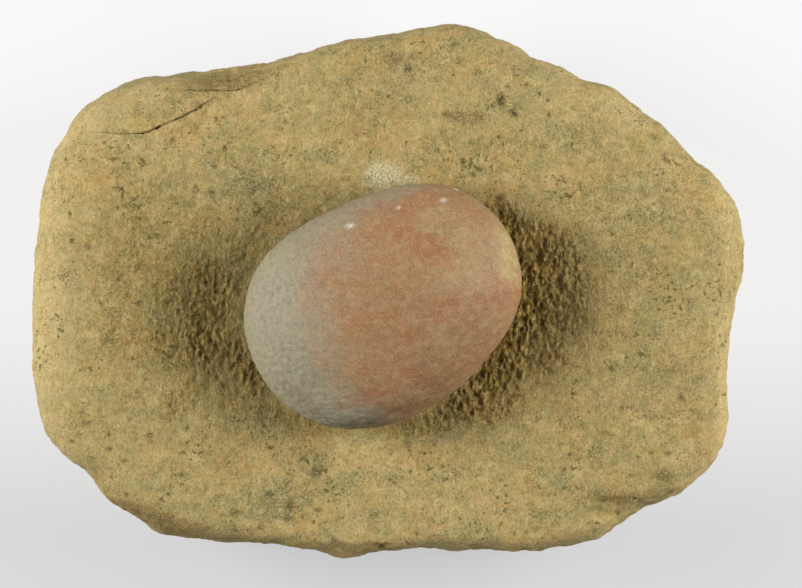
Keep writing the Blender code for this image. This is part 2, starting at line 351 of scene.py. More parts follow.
# How much fuller (or leaner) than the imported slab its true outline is: degrees, millimetres.
OUTLINE_MIDDLE = (0.42, -1.10)
OUTLINE_TRIMS = (
    (0, 0.50), (4, 0.50), (8, -0.26), (12, -0.13), (18, 0.05), (24, -0.15), (28, 0.10),
    (32, 0.20), (36, -0.74), (40, -0.15), (44, 0.69), (48, -0.70), (52, 0.0), (56, 0.15),
    (60, -0.35), (64, 0.08), (66, 0.0), (68, -0.25), (71, 0.0), (76, 0.0), (80, -0.20),
    (84, 0.15), (88, 0.15), (92, 0.45), (96, 0.32), (100, 0.65), (104, 0.0), (108, -0.50),
    (112, -0.50), (116, 0.0), (120, -0.22), (124, 0.30), (128, 0.60), (132, 0.88), (136, 0.58),
    (140, 0.18), (144, 0.32), (148, 0.22), (160, 0.45), (164, 0.05), (168, 0.33), (172, 0.10),
    (176, 0.20), (184, 0.25), (188, 0.15), (192, -0.42), (200, -0.25), (204, -0.60), (208, 0.0),
    (212, -0.15), (224, 0.08), (228, -0.30), (232, 0.12), (236, 0.90), (240, 0.30), (252, 0.16),
    (256, 0.0), (260, 0.85), (264, 0.08), (268, -0.10), (272, 0.48), (280, -0.22), (284, 0.10),
    (288, 0.0), (292, -0.50), (296, 0.25), (300, 0.0), (304, -0.75), (308, -0.38), (312, 0.0),
    (320, 0.03), (326, 0.48), (332, -0.26), (336, 0.20), (340, -0.50), (344, -0.50), (348, 0.0),
    (352, 0.25), (356, 0.0), (360, 0.50),
)


# Patches by kind: x, y, half length, half width and heading on the plan, then strength.
SLAB_PATCHES = {
    SlabMark.DARK: (
        (-65.4, 24.7, 1.3, 0.8, 0, 0.9), (-63.8, 20.5, 0.8, 0.5, 0, 0.7),
        (-39.9, 34.6, 0.5, 0.7, 0, 1.0), (-42.4, 30.3, 0.5, 0.5, 0, 0.8),
        (-52.3, 36.6, 0.5, 0.4, 0, 0.9), (-60.1, 32.0, 0.7, 0.5, -30, 0.5),
        (-43.1, 23.9, 0.8, 0.7, 0, 0.6), (-33.4, 24.2, 0.9, 0.8, 0, 0.7),
        (-32.4, 20.8, 0.7, 0.7, 0, 0.7), (-73.0, 10.6, 1.0, 0.8, 0, 0.7),
        (-76.9, 12.0, 0.7, 0.8, 0, 0.8), (-61.3, 5.5, 0.7, 0.8, 0, 0.8),
        (-65.7, 2.8, 0.5, 0.5, 0, 0.8), (-63.5, -1.1, 0.6, 0.5, 0, 0.8),
        (-70.1, -3.0, 0.8, 0.5, 0, 0.7), (-60.4, -3.0, 0.8, 0.8, 0, 0.9),
        (-57.2, 1.1, 0.5, 0.5, 0, 0.7), (-68.9, -12.0, 1.0, 0.8, 0, 0.5),
        (-73.3, -32.2, 1.3, 0.8, 0, 0.6), (-75.2, -34.9, 1.0, 0.7, 0, 0.5),
        (-76.9, -36.6, 0.8, 0.5, 0, 0.6), (-57.9, -35.1, 0.8, 0.7, 0, 1.0),
        (-48.9, -33.4, 0.5, 0.6, 30, 0.9), (-62.8, -31.3, 0.6, 0.5, 0, 0.5),
        (-67.9, -35.1, 0.5, 0.5, 0, 0.8), (-67.7, -38.5, 0.7, 0.5, 0, 0.9),
        (-64.0, -41.5, 0.6, 0.5, 0, 0.6), (-63.8, -49.5, 0.6, 0.5, 0, 0.8),
        (-55.3, -50.9, 0.5, 0.5, 0, 1.0), (-53.6, -49.5, 0.5, 0.5, 0, 0.9),
        (-28.8, -38.5, 0.8, 0.5, 0, 1.0), (-17.1, -44.4, 2.0, 1.0, 30, 0.8),
        (-20.6, -41.0, 0.8, 0.6, 0, 0.8), (-23.9, -52.6, 1.1, 1.4, 0, 0.8),
        (-28.8, -49.5, 1.3, 0.9, 0, 0.7), (-37.5, -54.1, 1.5, 0.8, 0, 0.7),
        (-24.4, -55.8, 1.2, 0.9, 0, 0.7), (-30.9, -57.8, 0.8, 0.5, 0, 0.9),
        (-13.2, -60.9, 1.0, 0.6, 0, 0.8), (-17.3, -53.4, 1.2, 0.5, 0, 0.7),
        (66.8, -45.1, 2.8, 1.5, 0, 0.7), (69.0, -49.2, 0.8, 0.5, 0, 0.8),
        (56.8, -28.6, 0.7, 0.6, 0, 0.8), (59.0, -28.6, 0.6, 0.6, 0, 0.7),
        (49.3, -38.1, 0.8, 0.5, 0, 0.5), (60.7, -40.7, 0.6, 0.5, 0, 0.8),
        (68.0, -39.5, 0.9, 0.5, 0, 0.8), (59.0, -44.9, 0.6, 0.5, 0, 0.6),
        (54.6, -19.1, 0.8, 0.5, -20, 0.9), (71.4, -26.1, 1.0, 0.5, -45, 0.8),
        (64.4, 37.3, 0.9, 0.7, -40, 0.7), (67.6, 31.8, 1.6, 0.5, -50, 0.7),
        (27.4, 46.4, 1.3, 1.7, 0, 1.0), (30.4, 43.2, 1.4, 0.9, -30, 1.0),
        (25.4, 45.1, 0.6, 0.5, 0, 0.9), (32.3, 44.4, 0.5, 0.6, 0, 0.8),
        (28.9, 49.6, 0.5, 0.5, 0, 0.9), (36.6, 47.8, 0.5, 0.5, 0, 1.0),
        (38.8, 46.3, 0.5, 0.5, 0, 1.0), (39.1, 42.7, 0.5, 0.8, 0, 1.0),
        (33.7, 50.0, 0.6, 0.6, 0, 0.8), (14.0, 42.9, 0.7, 0.6, 0, 0.8),
        (17.2, 42.2, 2.8, 1.6, 0, 0.55), (21.6, 42.0, 2.6, 1.4, 0, 0.55),
        (17.2, 55.8, 1.2, 1.0, 0, 0.5), (21.8, 52.9, 1.3, 0.9, 0, 0.45),
        (16.2, 59.9, 0.9, 0.6, 0, 0.6), (19.6, 30.0, 1.4, 0.5, 0, 0.3),
        (37.9, 35.1, 0.9, 0.7, 0, 0.6), (42.2, 27.3, 0.9, 0.8, 0, 0.6),
        (27.6, 23.0, 1.1, 0.8, 0, 0.7), (4.8, 53.8, 0.9, 1.2, 0, 0.8),
        (0.9, 56.2, 3.2, 1.6, 0, 0.5), (5.9, 57.0, 1.4, 1.0, 0, 0.5),
    ),
    SlabMark.GREEN: (
        (46.4, -51.7, 1.8, 1.1, 0, 0.8), (65.3, -9.6, 1.4, 2.6, 0, 0.8),
        (78.2, 9.8, 1.3, 1.6, 0, 0.7), (73.4, -3.3, 1.5, 1.4, 0, 0.6),
        (75.3, 0.6, 0.9, 0.8, 0, 0.7), (4.8, 53.8, 1.6, 1.8, 0, 0.8),
        (62.0, 22.0, 9.0, 7.0, 0, 0.35), (57.0, 8.0, 6.0, 5.0, 0, 0.35),
        (66.0, -22.0, 9.0, 6.0, 0, 0.45), (-34.0, 27.0, 7.0, 6.0, 0, 0.45),
        (-27.0, -51.0, 11.0, 5.0, 15, 0.7), (3.0, 52.0, 6.0, 5.0, 0, 0.4),
        (22.0, 51.0, 4.0, 3.0, 0, 0.35), (-18.0, -42.0, 5.0, 3.0, 20, 0.6),
        (20.0, -34.0, 12.0, 5.0, 0, 0.3), (-50.0, 3.0, 4.0, 9.0, 0, 0.4),
        (-56.0, -8.0, 3.0, 7.0, 0, 0.4),
    ),
    SlabMark.RUST: (
        (55.4, -55.3, 2.8, 1.4, 30, 0.9), (79.4, 20.8, 1.0, 0.8, 0, 0.8),
        (-75.0, 28.0, 6.0, 5.0, 0, 0.5), (-84.6, 7.0, 0.8, 4.0, 0, 0.6),
        (-20.0, -36.0, 7.0, 4.0, 0, 0.6), (-36.0, -42.0, 12.0, 5.0, 0, 0.5),
        (-30.0, 56.0, 8.0, 4.0, 0, 0.5), (28.0, 26.0, 8.0, 4.0, 0, 0.5),
        (0.0, 40.0, 14.0, 6.0, 0, 0.4), (44.0, -32.0, 8.0, 5.0, 0, 0.4),
        (75.0, -34.0, 5.0, 8.0, 0, 0.4), (-66.0, -20.0, 7.0, 8.0, 0, 0.3),
    ),
    SlabMark.PALE: ((-1.2, 28.2, 4.6, 3.2, 0, 1.0), (5.0, 26.8, 2.9, 1.4, 0, 0.75)),
    # Paler wear, and painted light on the rims, strongest on the west and east rims that face the
    # lamps.
    SlabMark.WORN: (
        (-83.5, -2.0, 8.0, 42.0, 0, 0.9), (-76.0, 36.0, 6.5, 14.0, -35, 0.8),
        (81.5, -22.0, 5.0, 24.0, 0, 0.6), (82.0, 14.0, 6.0, 14.0, 0, 0.4),
        (-80.0, -35.0, 6.0, 10.0, 30, 0.8), (56.0, 45.0, 8.0, 5.0, -38, 0.9),
        (-58.5, 48.6, 7.5, 4.0, 25, 0.95), (-11.0, 62.4, 8.0, 2.4, 8, 0.8),
        (42.0, 56.2, 8.0, 3.0, -28, 0.7), (-22.0, 58.2, 7.0, 2.6, 10, 0.8),
        (5.0, 64.0, 12.0, 2.2, 3, 0.8), (32.0, 60.0, 7.0, 2.6, -30, 0.8),
        (21.0, 28.0, 4.0, 3.0, 0, 0.6), (9.0, -48.0, 12.0, 4.0, 0, 0.4),
        (49.0, -57.0, 7.0, 3.0, 20, 0.5), (78.0, -2.0, 4.0, 5.0, 0, 0.55),
        (74.0, -41.0, 6.0, 5.0, 45, 0.5),
    ),
    # Grime in the hollow, and painted shadow and penumbra of the handstone on both sides of it.
    SlabMark.DIRT: (
        (36.5, 1.0, 6.5, 14.0, 0, 1.0), (29.5, 15.0, 4.5, 8.0, 35, 0.9),
        (43.0, 9.0, 5.0, 8.0, 0, 0.4), (45.0, -3.0, 4.0, 9.0, 0, 0.45),
        (33.0, -2.0, 4.5, 10.0, 0, 1.3), (31.0, -13.0, 5.0, 9.0, 0, 1.0),
        (37.5, -14.0, 6.0, 7.0, 0, 0.55), (26.0, -20.5, 9.0, 4.5, 48, 1.05),
        (19.0, -27.5, 8.0, 3.5, 30, 0.8), (27.0, -27.0, 8.0, 5.0, 40, 0.35),
        (9.0, -33.0, 10.0, 2.2, 8, 0.5), (-44.5, -2.0, 5.6, 11.0, 0, 0.60),
        (-44.5, -12.0, 5.4, 8.0, 0, 0.58), (-36.0, -18.5, 8.0, 2.8, -56, 0.62),
        (-33.0, -25.0, 10.0, 4.0, -42, 0.14), (-32.0, 12.5, 8.0, 2.4, 48, 0.22),
        (-20.0, -32.0, 9.0, 2.8, -12, 0.26), (-52.0, -6.0, 8.0, 15.0, 0, 0.34),
        (-58.0, 4.0, 12.0, 22.0, 0, 0.24), (12.0, 23.5, 9.0, 3.0, -5, 0.2),
        (-49.5, -26.0, 4.0, 7.0, -35, 0.3), (-44.0, 15.0, 5.0, 5.0, 0, 0.26),
    ),
    # Painted shade on the notch's face, the south-east and south breaks, the south-west bevel and
    # the east edge.
    SlabMark.SHADE: (
        (-39.0, 51.0, 10.0, 2.6, 5, 0.95), (-57.0, -55.6, 16.0, 2.8, -17, 1.0),
        (54.6, -50.2, 7.0, 1.8, -4, 0.9), (-72.5, -45.5, 8.0, 1.8, -38, 0.35),
        (-9.0, -63.4, 10.0, 1.5, 0, 0.6), (-30.0, -61.2, 16.0, 1.4, -5, 0.35),
        (83.4, 2.0, 1.2, 5.5, 0, 0.45), (79.5, -26.0, 0.6, 4.5, 0, 0.5),
    ),
}
PEBBLE_PATCHES = {
    PebbleMark.TAN: (
        (28.0, 8.0, 3.2, 8.5, 14, 0.95), (18.0, 5.0, 6.0, 7.0, 20, 0.3),
        (14.0, 15.0, 8.0, 4.0, -20, 0.5),
    ),
    PebbleMark.RED: (
        (28.6, 0.0, 4.0, 2.6, 0, 1.0), (23.5, -2.8, 8.0, 3.4, 12, 1.0),
        (10.0, 9.8, 4.6, 3.4, 0, 0.9), (2.4, 13.6, 3.0, 3.0, 0, 0.6),
        (14.9, -3.2, 4.4, 2.4, 0, 0.8), (-3.3, -24.3, 4.0, 2.4, 0, 1.0),
        (-9.7, -26.2, 3.0, 2.0, 0, 0.9), (7.1, -20.1, 4.0, 2.8, 0, 0.8),
        (6.0, 19.0, 8.0, 3.6, 0, 0.6), (2.0, -12.0, 5.0, 3.0, 0, 0.4),
    ),
    # Brown patches, with painted shade on the near rim and the lower east flank.
    PebbleMark.BROWN: (
        (3.4, -27.4, 8.0, 2.4, 14, 0.9), (-1.0, -30.8, 6.0, 1.5, 5, 0.6),
        (16.0, -17.0, 14.0, 8.0, 48, 0.45), (14.0, -20.5, 14.0, 3.0, 42, 0.6),
        (4.0, -8.0, 12.0, 10.0, 0, 0.2),
    ),
    PebbleMark.GREY: (
        (-1.5, 22.4, 15.0, 2.6, 17, 0.8), (-12.0, 16.8, 9.0, 4.4, 28, 0.8),
        (-10.5, 9.0, 4.5, 5.5, 0, 0.5), (-13.0, -10.0, 3.4, 9.5, 10, 0.5),
        (22.0, 21.5, 7.0, 1.5, -38, 0.6),
    ),
    # Painted shade along the lower rim, on the near side and round its west end.
    PebbleMark.RIM_SHADE: (
        (-7.3, -32.2, 9.0, 1.8, 3, 1.0), (-19.5, -26.5, 8.0, 2.0, -42, 0.35),
        (-22.0, -19.0, 7.0, 5.0, -50, 0.10), (9.0, -28.0, 9.0, 1.6, 32, 0.35),
    ),
    PebbleMark.FLECK: (
        (-9.0, 15.0, 1.1, 0.6, 20, 1.0), (12.9, 20.9, 0.7, 0.5, 0, 1.0),
        (2.4, 19.3, 0.5, 0.5, 0, 0.7), (15.9, 24.0, 0.9, 0.4, -25, 1.0),
        (-10.6, -25.6, 0.5, 0.3, 0, 0.5),
    ),
}


# Where the handstone's grey end turns pink: x for each y, from the far side to the near one.
PINK_LINE = (
    (24.0, 2.9), (21.6, -5.5), (18.0, -12.7), (12.7, -17.7), (4.9, -19.6), (-3.0, -19.1),
    (-11.1, -18.2), (-19.0, -15.0), (-26.2, -8.6), (-29.7, -0.7),
)


def patch_amounts(
    places: np.ndarray, patches: tuple[tuple[float, float, float, float, float, float], ...]
) -> np.ndarray:
    """How strongly any of some patches marks each place.

    Args:
        places: Places in metres, one a row.
        patches: Each patch's x, y, half length, half width, heading and strength.

    Returns:
        One value for each place.
    """
    amount = np.zeros(len(places))
    for *shape, strength in patches:
        inside = smoothstep(Ellipse(*shape).reach(places), 1.5, 0.4)
        amount = np.maximum(amount, strength * inside)
    return amount


@dataclass
class StoneBody:
    """One stone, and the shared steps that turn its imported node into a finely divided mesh."""

    node: str
    name: str
    spacing: float
    smoothing: int = 2
    side_crease: float = 0.0
    merge_distance: float = 0.01 * MM
    join_angle: float = math.radians(60)
    steep_below: float = 0.8

    def smooth_copy(self) -> Object:
        """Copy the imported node, merge its loose triangles and smooth its facets.

        Returns:
            A new object that is linked to the scene.
        """
        mesh = bmesh.new()
        mesh.from_mesh(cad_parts[self.node].data)
        bmesh.ops.remove_doubles(mesh, verts=mesh.verts, dist=self.merge_distance)
        bmesh.ops.join_triangles(
            mesh,
            faces=mesh.faces,
            angle_face_threshold=self.join_angle,
            angle_shape_threshold=self.join_angle,
        )
        mesh.normal_update()
        creases = mesh.edges.layers.float.new("crease_edge")
        for edge in mesh.edges:
            if max(abs(face.normal.z) for face in edge.link_faces) < self.steep_below:
                edge[creases] = self.side_crease
        data = bpy.data.meshes.new(self.node + "_smooth")
        mesh.to_mesh(data)
        mesh.free()
        thing = bpy.data.objects.new(self.node + "_smooth", data)
        bpy.context.scene.collection.objects.link(thing)
        divide = thing.modifiers.new("Divide", "SUBSURF")
        divide.levels = self.smoothing
        divide.render_levels = self.smoothing
        return self.settled(thing)

    @staticmethod
    def settled(thing: Object) -> Object:
        """Turn an object's modifiers into plain mesh.

        Args:
            thing: The object.

        Returns:
            The same object, without modifiers.
        """
        depsgraph = bpy.context.evaluated_depsgraph_get()
        evaluated = thing.evaluated_get(depsgraph)
        data = bpy.data.meshes.new_from_object(
            evaluated, preserve_all_data_layers=True, depsgraph=depsgraph
        )
        thing.modifiers.clear()
        old = thing.data
        thing.data = data
        bpy.data.meshes.remove(old)
        return thing

    def remeshed(self, source: Object) -> Object:
        """Even quads over the surface of another object, under the piece's own name.

        Args:
            source: The object to follow.

        Returns:
            The new object.
        """
        thing = bpy.data.objects.new(self.name, source.data.copy())
        bpy.context.scene.collection.objects.link(thing)
        remesh = thing.modifiers.new("Remesh", "REMESH")
        remesh.mode = "VOXEL"
        remesh.voxel_size = self.spacing
        return self.settled(thing)

    @staticmethod
    def wrapped(thing: Object, target: Object) -> Object:
        """Lay an object's points on the surface of another.

        Args:
            thing: The object to move the points of.
            target: The surface.

        Returns:
            The same object.
        """
        wrap = thing.modifiers.new("Wrap", "SHRINKWRAP")
        wrap.target = target
        wrap.wrap_method = "NEAREST_SURFACEPOINT"
        return StoneBody.settled(thing)

    @staticmethod
    def coordinates(data: Mesh) -> np.ndarray:
        """Vertex places, one a row."""
        values = np.empty(len(data.vertices) * 3, dtype=np.float32)
        data.vertices.foreach_get("co", values)
        return values.reshape(-1, 3).astype(np.float64)

    @staticmethod
    def normals(data: Mesh) -> np.ndarray:
        """Vertex normals, one a row."""
        values = np.empty(len(data.vertices) * 3, dtype=np.float32)
        data.vertex_normals.foreach_get("vector", values)
        return values.reshape(-1, 3).astype(np.float64)

    @staticmethod
    def move_to(data: Mesh, places: np.ndarray) -> None:
        """Set every vertex's place.

        Args:
            data: The mesh.
            places: Places, one a row.
        """
        data.vertices.foreach_set("co", places.astype(np.float32).ravel())
        data.update()

    @staticmethod
    def paint(data: Mesh, what: Enum, values: np.ndarray) -> None:
        """Store one value for each vertex.

        Args:
            data: The mesh.
            what: What the values tell, whose own value is the attribute's name.
            values: One value for each vertex.
        """
        attribute = data.attributes.new(what.value, "FLOAT", "POINT")
        attribute.data.foreach_set("value", values.astype(np.float32))

    def carve(self, thing: Object, surface: "SurfaceTree") -> None:
        """Run a surface tree on an object, and keep what it makes as a plain, smooth mesh.

        Args:
            thing: The object.
            surface: The tree, with the values of its inputs.
        """
        run = thing.modifiers.new("Surface", "NODES")
        run.node_group = surface.tree
        for item in surface.tree.interface.items_tree:
            if item.item_type == "SOCKET" and item.name in surface.values:
                run[item.identifier] = surface.values[item.name]
        self.settled(thing)
        thing.data.shade_smooth()

    def keep_inside(self, data: Mesh) -> None:
        """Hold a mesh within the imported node's own box.

        Args:
            data: The mesh.
        """
        low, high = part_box(self.node)
        self.move_to(data, np.clip(self.coordinates(data), np.array(low), np.array(high)))


@dataclass(frozen=True)
class Relief:
    """Depths of the slab's relief, and its pits and coarse grains a square metre."""

    swell: float = 0.30 * MM
    grain: float = 0.16 * MM
    streak: float = 0.10 * MM
    hollow_streak: float = 0.24 * MM
    peck: float = 0.27 * MM
    lump: float = 0.40 * MM
    facet: float = 0.8 * MM
    chip: float = 0.26 * MM
    pit: float = 0.38 * MM
    pit_density: float = 9000.0
    grain_density: float = 3000.0
    seed: int = 7


@dataclass
class QuernSlab(StoneBody):
    """The lower stone, with its breaks, crack, peck marks and grain.

    A level is how often a face is halved: rim_level on the top and the upper sides, fine_level
    along the breaks and in the patches of fine_patches from their strength up, and finest_level
    along the cracks. A facing is how far a face looks up, from -1 to 1. Distances from a break
    or a crack are in millimetres. The outline is trimmed from rim_from of the way out to the rim,
    and in full from rim_full. The pecks are strengths of the peck marks: in parts of the hollow
    free of grime and painted shadow, for each unit of those patches, and at most.
    """

    node: str = "quern_slab"
    name: str = "dished_sandstone_slab"
    spacing: float = 3.0 * MM
    side_crease: float = 0.75
    rim_level: int = 2
    fine_level: int = 3
    finest_level: int = 4
    fine_patches: tuple[tuple[SlabMark, float], ...] = (
        (SlabMark.DIRT, 0.25), (SlabMark.PALE, 0.05), (SlabMark.DARK, 0.3),
    )
    top_facing: float = 0.25
    side_facing: float = -0.1
    under_facing: float = -0.85
    upper_sides: float = 28.0 * MM
    near_scarp: float = 2.0
    near_crack: float = 1.2
    rim_from: float = 0.72
    rim_full: float = 0.96
    faint_pecks: float = 0.45
    grime_and_shadow_pecks: float = 1.5
    most_pecks: float = 1.2
    relief: Relief = field(default_factory=Relief)

    def build(self) -> Object:
        """Build the slab's visible mesh.

        Returns:
            The finished piece, with its materials.
        """
        smooth = self.smooth_copy()
        thing = self.remeshed(smooth)
        self.divide_where_fine(thing.data)
        self.wrapped(thing, smooth)
        bpy.data.objects.remove(smooth, do_unlink=True)
        self.trim_outline(thing.data)
        self.cut_breaks(thing.data)
        self.paint_stains(thing.data)
        materials = {"stone": SandstoneFinish().material(), "quartz": QuartzFinish().material()}
        self.carve(thing, SlabSurfaceTree({**asdict(self.relief), **materials}))
        self.keep_inside(thing.data)
        return thing

    def wanted_divisions(self, centres: np.ndarray, facing: np.ndarray) -> np.ndarray:
        """How many times the faces at some places are halved.

        Args:
            centres: Middles of the faces.
            facing: How far each face looks up, from -1 to 1.

        Returns:
            A whole number for each face.
        """
        top = facing > self.top_facing
        upper = (facing > self.side_facing) & (centres[:, 2] > self.upper_sides)
        wanted = np.where(facing > self.under_facing, 1, 0)
        wanted[top | upper] = self.rim_level
        for stain, strength in self.fine_patches:
            fine = patch_amounts(centres, SLAB_PATCHES[stain]) > strength
            wanted[top & fine] = self.fine_level
        wanted[top & (HANDSTONE_SHADE.reach(centres) < 1.0)] = 1
        for scarp in SCARPS:
            distance, slope, _side = scarp.line.measure(centres)
            near = (distance < self.near_scarp) & (slope > 0.2)
            wanted[(facing > 0) & near] = self.fine_level
        for crack in CRACKS:
            distance, _gape, _side = crack.line.measure(centres)
            wanted[(facing > 0) & (distance < self.near_crack)] = self.finest_level
        return wanted

    def divide_where_fine(self, data: Mesh) -> None:
        """Halve the faces of the top, the hollow and the crack until they carry their detail.

        Args:
            data: The slab's mesh.
        """
        mesh = bmesh.new()
        mesh.from_mesh(data)
        for level in range(1, self.finest_level + 1):
            mesh.normal_update()
            centres = np.array([face.calc_center_median() for face in mesh.faces])
            facing = np.array([face.normal.z for face in mesh.faces])
            edges = set()
            for face, count in zip(mesh.faces, self.wanted_divisions(centres, facing)):
                if count >= level:
                    edges.update(face.edges)
            bmesh.ops.subdivide_edges(
                mesh, edges=list(edges), cuts=1, use_grid_fill=True, use_only_quads=False
            )
        bmesh.ops.triangulate(mesh, faces=[face for face in mesh.faces if len(face.verts) > 4])
        mesh.to_mesh(data)
        mesh.free()

    def trim_outline(self, data: Mesh) -> None:
        """Draw the rim out or in to the small steps of the stone's true outline.

        Args:
            data: The slab's mesh.
        """
        places = self.coordinates(data)
        away = places[:, :2] - np.array(OUTLINE_MIDDLE) * MM
        radius = np.hypot(away[:, 0], away[:, 1])
        angle = np.degrees(np.arctan2(away[:, 1], away[:, 0])) % 360
        farthest = np.zeros(361)
        np.maximum.at(farthest, np.round(angle).astype(int), radius)
        farthest[0] = farthest[360] = max(farthest[0], farthest[360])
        edge = np.interp(angle, np.arange(361), farthest)
        degrees, growth = np.array(OUTLINE_TRIMS).T
        weight = smoothstep(radius / edge, self.rim_from, self.rim_full)
        change = weight * np.interp(angle, degrees, growth) * MM / np.maximum(radius, MM)
        places[:, :2] += away * change[:, None]
        self.move_to(data, places)

    def cut_breaks(self, data: Mesh) -> None:
        """Open the cracks and break the crisp edges.

        Args:
            data: The slab's mesh.
        """
        places = self.coordinates(data)
        # How far the surface looks up, from -1 to 1. It is cut only where it does.
        facing = self.normals(data)[:, 2]
        up = smoothstep(facing, 0.2, 0.6)
        drop = np.zeros(len(places))
        dark = np.zeros(len(places))
        for crack in CRACKS:
            lowered, darkened = crack.cut(places)
            drop += lowered * up
            dark = np.maximum(dark, darkened * up)
        for scarp in SCARPS:
            drop += scarp.drop(places) * smoothstep(facing, 0.0, 0.3)
        places[:, 2] -= drop * MM
        self.move_to(data, places)
        # The cracks' darkness is painted shade in their grooves.
        self.paint(data, Painted.CRACK, dark)

    def paint_stains(self, data: Mesh) -> None:
        """Store the patches of each mark, painted shade and light too, and where the hollow lies.

        Args:
            data: The slab's mesh.
        """
        places = self.coordinates(data)
        facing = self.normals(data)[:, 2]
        shown = smoothstep(facing, -0.1, 0.3)
        for stain in SlabMark:
            self.paint(data, stain, patch_amounts(places, SLAB_PATCHES[stain]) * shown)
        faint = self.faint_pecks * smoothstep(HOLLOW.reach(places), 1.1, 0.45)
        # Peck marks grow deeper in the patches of grime and painted shadow.
        grime_and_shadow = patch_amounts(places, SLAB_PATCHES[SlabMark.DIRT])
        pecked = np.maximum(faint, np.minimum(self.grime_and_shadow_pecks * grime_and_shadow, self.most_pecks))
        self.paint(data, Painted.HOLLOW, pecked * smoothstep(facing, 0.5, 0.9))


class SurfaceTree:
    """Geometry tree that gives a stone its surface, with a named input for each of its values."""

    name: str
    kinds = {float: "NodeSocketFloat", int: "NodeSocketInt", Material: "NodeSocketMaterial"}

    def __init__(self, values: dict[str, float | int | Material]) -> None:
        """Build the tree.

        Args:
            values: The inputs' names and values.
        """
        self.values = values
        self.tree = bpy.data.node_groups.new(self.name, "GeometryNodeTree")
        self.add = partial(add_node, self.tree)
        face = self.tree.interface
        face.new_socket("Geometry", in_out="INPUT", socket_type="NodeSocketGeometry")
        for name, value in values.items():
            face.new_socket(name, in_out="INPUT", socket_type=self.kinds[type(value)])
        face.new_socket("Geometry", in_out="OUTPUT", socket_type="NodeSocketGeometry")
        self.given = self.add("NodeGroupInput").outputs
        self.place = self.add("GeometryNodeInputPosition").outputs["Position"]
        self.normal = self.add("GeometryNodeInputNormal").outputs["Normal"]
        self.add("NodeGroupOutput", {"Geometry": self.surface()})

    def surface(self) -> NodeSocket:
        """The finished geometry, which each stone's own tree makes. Here it is the given one."""
        return self.given["Geometry"]

    def stored(self, what: Enum) -> NodeSocket:
        """A value that the mesh stores."""
        name = {"Name": what.value}
        node = self.add("GeometryNodeInputNamedAttribute", name, data_type="FLOAT")
        return node.outputs["Attribute"]

    def waves(self, size: tuple[float, float, float], detail: float) -> NodeSocket:
        """Noise from -1 to 1 whose lumps have a real size.

        Args:
            size: Lump size along x, y and z, in millimetres.
            detail: Octaves of finer lumps.

        Returns:
            The value.
        """
        noise = lumps(self.tree, self.place, size, detail)
        return self.add(
            "ShaderNodeMapRange",
            {"Value": noise, "From Min": 0.25, "From Max": 0.75, "To Min": -1.0},
            clamp=False,
        ).outputs["Result"]

    def total(self, terms: tuple[tuple[NodeSocket, NodeSocket], ...]) -> NodeSocket:
        """Add up patterns, each times its depth.

        Args:
            terms: Each pattern and its depth.

        Returns:
            The sum.
        """
        total = None
        for value, depth in terms:
            part = self.add("ShaderNodeMath", {0: value, 1: depth}, operation="MULTIPLY")
            if total is not None:
                part = self.add("ShaderNodeMath", {0: total, 1: part.outputs["Value"]})
            total = part.outputs["Value"]
        return total

    def raised(self, height: NodeSocket) -> NodeSocket:
        """Move the given geometry out along its normals.

        Args:
            height: How far.

        Returns:
            The moved geometry.
        """
        offset = self.add(
            "ShaderNodeVectorMath", {0: self.normal, "Scale": height}, operation="SCALE"
        )
        inputs = {"Geometry": self.given["Geometry"], "Offset": offset.outputs["Vector"]}
        return self.add("GeometryNodeSetPosition", inputs).outputs["Geometry"]


